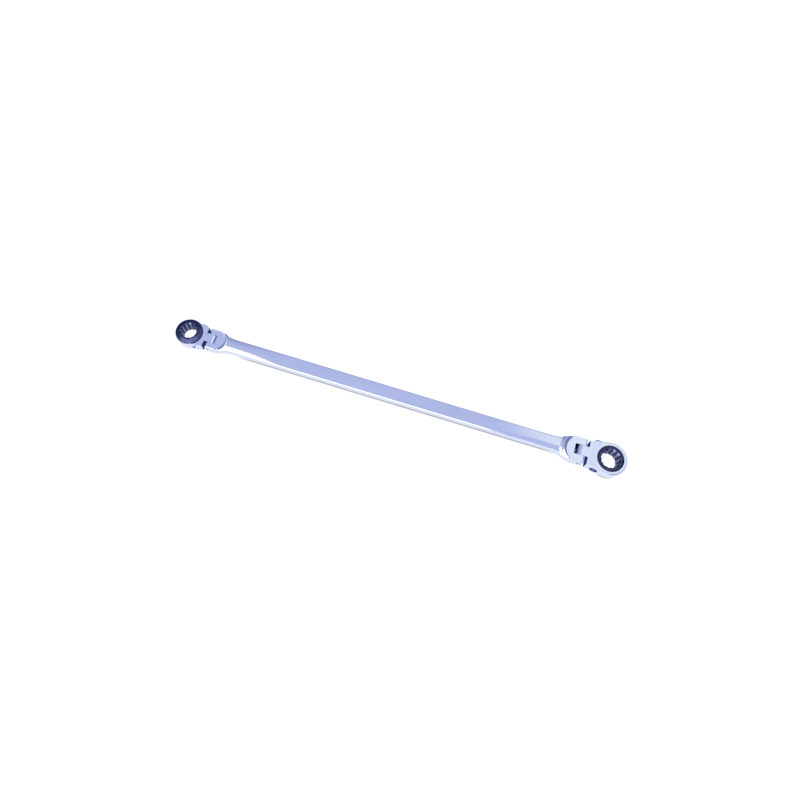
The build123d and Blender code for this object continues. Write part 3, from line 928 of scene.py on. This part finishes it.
@dataclass(frozen=True)
class CoilSpring:
    """Compression spring with closed end coils."""

    name: str
    end: EndSize
    start: tuple[float, float, float]  # middle of its fixed end, in the end's frame
    finish: tuple[float, float, float]
    coil_radius: float
    wire: float
    turns: float = 5.0  # open turns
    closed: float = 1.0  # turns laid close at each end
    steps: int = 20  # rings per turn
    sides: int = 10
    slack: float = 1.02  # height of a closed turn over the wire's thickness

    def build(self) -> bpy.types.Object:
        """Sweep a round wire along a coil whose rise is slow over the closed turns and even between.

        The rise is interpolated against the turn number: one wire thickness per closed turn at each end.
        Each ring of the tube lies across the path: its two directions are outwards from the axis, and
        the cross product of the path's direction with that.

        Returns:
            The spring.
        """
        begin, finish = np.array(self.start), np.array(self.finish)
        length = float(np.linalg.norm(finish - begin))
        axis = (finish - begin) / length
        side = np.array([0.0, 0.0, 1.0])
        other = np.cross(axis, side)
        total = self.turns + 2 * self.closed
        turn = np.linspace(0, total, int(total * self.steps) + 1)
        laid = self.closed * self.wire * self.slack
        knots = [0, self.closed, total - self.closed, total]
        rise = np.interp(turn, knots, [0, laid, length - self.wire - laid, length - self.wire])
        rise = rise + self.wire / 2
        angle = 2 * np.pi * turn
        out = np.cos(angle)[:, None] * side + np.sin(angle)[:, None] * other
        centre = begin + rise[:, None] * axis + self.coil_radius * out
        along = np.gradient(centre, axis=0)
        along = along / np.linalg.norm(along, axis=1, keepdims=True)
        up = np.cross(along, out)
        up = up / np.linalg.norm(up, axis=1, keepdims=True)
        across = np.cross(up, along)
        phi = np.arange(self.sides) * 2 * np.pi / self.sides
        ring = np.cos(phi)[None, :, None] * across[:, None] + np.sin(phi)[None, :, None] * up[:, None]
        points = (centre[:, None] + self.wire / 2 * ring).reshape(-1, 3)
        first = np.arange(self.sides)
        caps = [first[::-1].tolist(), (first + (len(turn) - 1) * self.sides).tolist()]
        faces = grid_faces(len(turn), self.sides, False, True).tolist() + caps
        return solid(self.name, self.end.place(points), faces)


# ---- assembly -----------------------------------------------------------------------------------
def dress(piece: bpy.types.Object, material: bpy.types.Material) -> None:
    """Give every material slot of a piece the same material.

    Args:
        piece: any mesh object.
        material: what it is finished in.
    """
    if not piece.material_slots:
        piece.data.materials.append(material)
    for place in piece.material_slots:
        place.material = material


@dataclass(frozen=True)
class EndAssembly:
    """The separately made pieces of one end."""

    end: EndSize
    materials: dict[Kind, bpy.types.Material]
    pawl_push: float = 0.56  # how far the pawl ball drives the spring's end at full slide

    def build(self) -> None:
        """Make the gear, ring, pin, plug and springs, and let each stand for its node."""
        end = self.end
        head, gear = f"{end.name}_head", f"{end.name}_ring_gear"
        self._join(RingGear(end).build(), Kind.RING_GEAR, gear)
        self._join(RetainingRing(end).build(), Kind.RETAINING_RING, head)
        self._join(PivotPin(end).build(), Kind.PIVOT_PIN, "handle")
        plug = PocketPlug(end).build()
        self._join(plug, Kind.POCKET_PLUG, head)
        if end is SMALL:
            dress(plug, self.materials[Kind.HEAD])
        fixed, moving = end.pawl_spring_ends
        pawl_spring = CoilSpring(
            f"{end.name}_pawl_coil", end, (end.pocket_x, fixed, 0.0), (end.pocket_x, moving, 0.0),
            end.pawl_coil_radius, end.spring_wire, closed=0.75, turns=4.5,
        ).build()
        self._join(pawl_spring, Kind.PAWL_SPRING, head)
        anchor = end.place(np.array([end.pocket_x, fixed, 0.0])) * MM
        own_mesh(pawl_spring)
        fixed, moving = end.flex_spring_ends
        flex_spring = CoilSpring(
            f"{end.name}_flex_coil", end, (fixed, 0.0, 0.0), (moving, 0.0, 0.0),
            end.flex_coil_radius, end.spring_wire,
        ).build()
        self._join(flex_spring, Kind.FLEX_SPRING, "handle")

    def _join(self, piece: bpy.types.Object, kind: Kind, body: str) -> None:
        """Finish one piece and put it on its body, in place of its node.

        Args:
            piece: the new object.
            kind: which node of this end it stands for.
            body: the body that carries it.
        """
        dress(piece, self.materials[kind])
        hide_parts(f"{self.end.name}_{kind.value}")
        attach(piece, body)
        LOG.info("%s stands for %s_%s on %s", piece.name, self.end.name, kind.value, body)


# ---- stage --------------------------------------------------------------------------------------
@dataclass(frozen=True)
class Softbox:
    """A rectangular studio light: where it hangs, what it looks at, its size and brightness, in metres."""

    name: str
    place: tuple[float, float, float]
    target: tuple[float, float, float]
    width: float
    depth: float
    radiance: float
    colour: str

    def hang(self) -> None:
        """Add the light; its power is radiance times area times pi, so that a bigger box isn't dimmer."""
        lamp = bpy.data.lights.new(self.name, "AREA")
        lamp.shape = "RECTANGLE"
        lamp.size, lamp.size_y = self.width, self.depth
        lamp.energy = self.radiance * self.width * self.depth * np.pi
        lamp.color = linear(self.colour)[:3]
        holder = bpy.data.objects.new(self.name, lamp)
        bpy.context.scene.collection.objects.link(holder)
        holder.location = self.place
        aim = Vector(self.target) - Vector(self.place)
        holder.rotation_euler = aim.to_track_quat("-Z", "Y").to_euler()


@dataclass(frozen=True)
class Studio:
    """Lit pale floor, lilac surroundings, softboxes and the camera."""

    floor_size: float = 60.0
    floor_colour: str = "7C7D82"
    floor_glow: float = 0.88  # the floor is a lit panel, so that the sockets look through to white
    shade_middle: float = 1.5  # mm, strip of the panel left unlit under the bar, so its lower edge reads
    shade_sides: tuple[float, float] = (5.2, 7.2)  # mm to either side, where it starts and stops fading
    shade_ends: tuple[float, float] = (105.0, 130.0)  # mm along the bar, the same
    overhead_colour: str = "D6DDFF"
    overhead_strength: float = 1.0
    horizon_colour: str = "9EA8D8"
    horizon_strength: float = 0.7
    sky_span: tuple[float, float] = (0.4, 0.94)  # upward share of a direction, from horizon to overhead
    far_colour: str = "F3F5FC"  # the far end of the room, level with the floor
    far_span: tuple[float, float] = (0.06, 0.26)  # upward share over which it ends
    glow_colour: str = "F4F9FF"  # broad soft glow overhead on the right
    glow_strength: float = 1.18
    glow_right: tuple[float, float] = (0.08, 0.2)  # where the glow fades in, as shares of a direction
    glow_behind: tuple[float, float] = (0.18, 0.3)
    glow_high: tuple[float, float] = (0.55, 0.75)
    fibre_scale: float = 400.0  # paper fibres per metre
    fibre_depth: float = 0.02  # mm
    lens: float = 28.8
    sensor: float = 36.0
    camera_place: tuple[float, float, float] = (0.0329, -0.1683, 0.4404)
    camera_right: tuple[float, float, float] = (0.9553, 0.292, 0.046)
    camera_back: tuple[float, float, float] = (0.0628, -0.3526, 0.9337)

    def build(self, low: Vector) -> None:
        """Make the floor under the object, the surroundings, the lights and the camera.

        Args:
            low: lowest corner of the object, which the floor touches.
        """
        self._floor(low[2])
        self._surroundings()
        for box in SOFTBOXES:
            box.hang()
        self._camera()

    def _floor(self, height: float) -> None:
        """Add a matt, lit floor, with a strip left unlit under the bar.

        Args:
            height: its level, in metres.
        """
        half = self.floor_size / 2
        mesh = bpy.data.meshes.new("studio_floor")
        corners = [(-half, -half, height), (half, -half, height), (half, half, height), (-half, half, height)]
        mesh.from_pydata(corners, [], [(0, 1, 2, 3)])
        floor = bpy.data.objects.new("studio_floor", mesh)
        bpy.context.scene.collection.objects.link(floor)
        material = bpy.data.materials.new("matt_paper_floor")
        material.use_nodes = True
        graph = Graph(material.node_tree)
        place = graph.add("TexCoord").outputs["Object"]
        fibre = graph.add("TexNoise", {"Vector": place, "Scale": self.fibre_scale, "Detail": 2.0})
        bump = graph.add("Bump", {"Height": fibre.outputs["Fac"], "Distance": self.fibre_depth * MM})
        axes = graph.add("SeparateXYZ", {"Vector": place})
        aside = graph.math("ABSOLUTE", graph.math("SUBTRACT", axes.outputs["Y"], self.shade_middle * MM))
        open_side = graph.smooth_step(aside, *(limit * MM for limit in self.shade_sides))
        along = graph.math("ABSOLUTE", axes.outputs["X"])
        open_end = graph.smooth_step(along, *(limit * MM for limit in self.shade_ends))
        clear = graph.math("MAXIMUM", open_side, open_end)
        shader = graph.add(
            "BsdfPrincipled",
            {
                "Base Color": linear(self.floor_colour),
                "Roughness": 0.9,
                "Specular IOR Level": 0.2,
                "Emission Color": linear("FFFFFF"),
                "Emission Strength": graph.math("MULTIPLY", clear, self.floor_glow),
                "Normal": bump.outputs["Normal"],
            },
        )
        graph.add("OutputMaterial", {"Surface": shader.outputs["BSDF"]})
        mesh.materials.append(material)
        floor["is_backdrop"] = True

    def _surroundings(self) -> None:
        """Fill the room with lilac light, darker near the horizon, with a glow and a pale far end."""
        world = bpy.data.worlds.new("studio_room")
        bpy.context.scene.world = world
        world.use_nodes = True
        graph = Graph(world.node_tree)
        direction = graph.add("SeparateXYZ", {"Vector": graph.add("TexCoord").outputs["Generated"]})
        rise = graph.smooth_step(direction.outputs["Z"], *self.sky_span)
        colour = graph.blend(rise, linear(self.horizon_colour), linear(self.overhead_colour))
        strength = graph.add(
            "MapRange", {"Value": rise, "To Min": self.horizon_strength, "To Max": self.overhead_strength}
        )
        right = graph.smooth_step(direction.outputs["X"], *self.glow_right)
        behind = graph.smooth_step(direction.outputs["Y"], *self.glow_behind)
        high = graph.smooth_step(direction.outputs["Z"], *self.glow_high)
        glowing = graph.math("MULTIPLY", graph.math("MULTIPLY", right, behind), high)
        room = graph.add("Background", {"Color": colour, "Strength": strength.outputs["Result"]})
        glow = graph.add("Background", {"Color": linear(self.glow_colour), "Strength": self.glow_strength})
        above = graph.add(
            "MixShader", {0: glowing, 1: room.outputs["Background"], 2: glow.outputs["Background"]}
        )
        far = graph.add("Background", {"Color": linear(self.far_colour), "Strength": 1.0})
        lift = graph.smooth_step(direction.outputs["Z"], *self.far_span)
        light = graph.add(
            "MixShader", {0: lift, 1: far.outputs["Background"], 2: above.outputs["Shader"]}
        )
        graph.add("OutputWorld", {"Surface": light.outputs["Shader"]})

    def _camera(self) -> None:
        """Place the camera from its right and back directions, squared up to each other."""
        data = bpy.data.cameras.new("camera")
        data.lens, data.sensor_width = self.lens, self.sensor
        camera = bpy.data.objects.new("camera", data)
        bpy.context.scene.collection.objects.link(camera)
        back = Vector(self.camera_back).normalized()
        up = back.cross(Vector(self.camera_right)).normalized()
        right = up.cross(back)
        turn = Matrix((right, up, back)).transposed().to_4x4()
        camera.matrix_world = Matrix.Translation(self.camera_place) @ turn
        bpy.context.scene.camera = camera
        bpy.context.scene.view_settings.view_transform = "Standard"


SOFTBOXES = (
    Softbox(
        name="front_softbox", place=(-0.54, -0.5, 1.5), target=(-0.54, -0.5, 0.0), width=1.52, depth=1.5,
        radiance=2.2, colour="FFFFFF",
    ),
    Softbox(
        name="top_softbox", place=(0.0, -1.9, 1.2), target=(0.0, 0.0, 0.0), width=2.4, depth=1.0,
        radiance=1.6, colour="FFFFFF",
    ),
)


# ---- main ---------------------------------------------------------------------------------------
def main() -> None:
    """Load the frame, dress every node, add the separately made pieces and set the stage."""
    logging.basicConfig(level=logging.INFO, format="%(name)s: %(message)s")
    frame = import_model()
    cad_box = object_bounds()
    materials = {kind: finish.material() for kind, finish in FINISHES.items()}
    for name, node in frame["nodes"].items():
        kind = Kind(name.removeprefix("large_").removeprefix("small_"))
        dress(node, materials[kind])
        LOG.info("%s dressed in %s", name, materials[kind].name)
    for end in ENDS:
        EndAssembly(end, materials).build()
    Studio().build(cad_box[0])


if __name__ == "__main__":
    main()
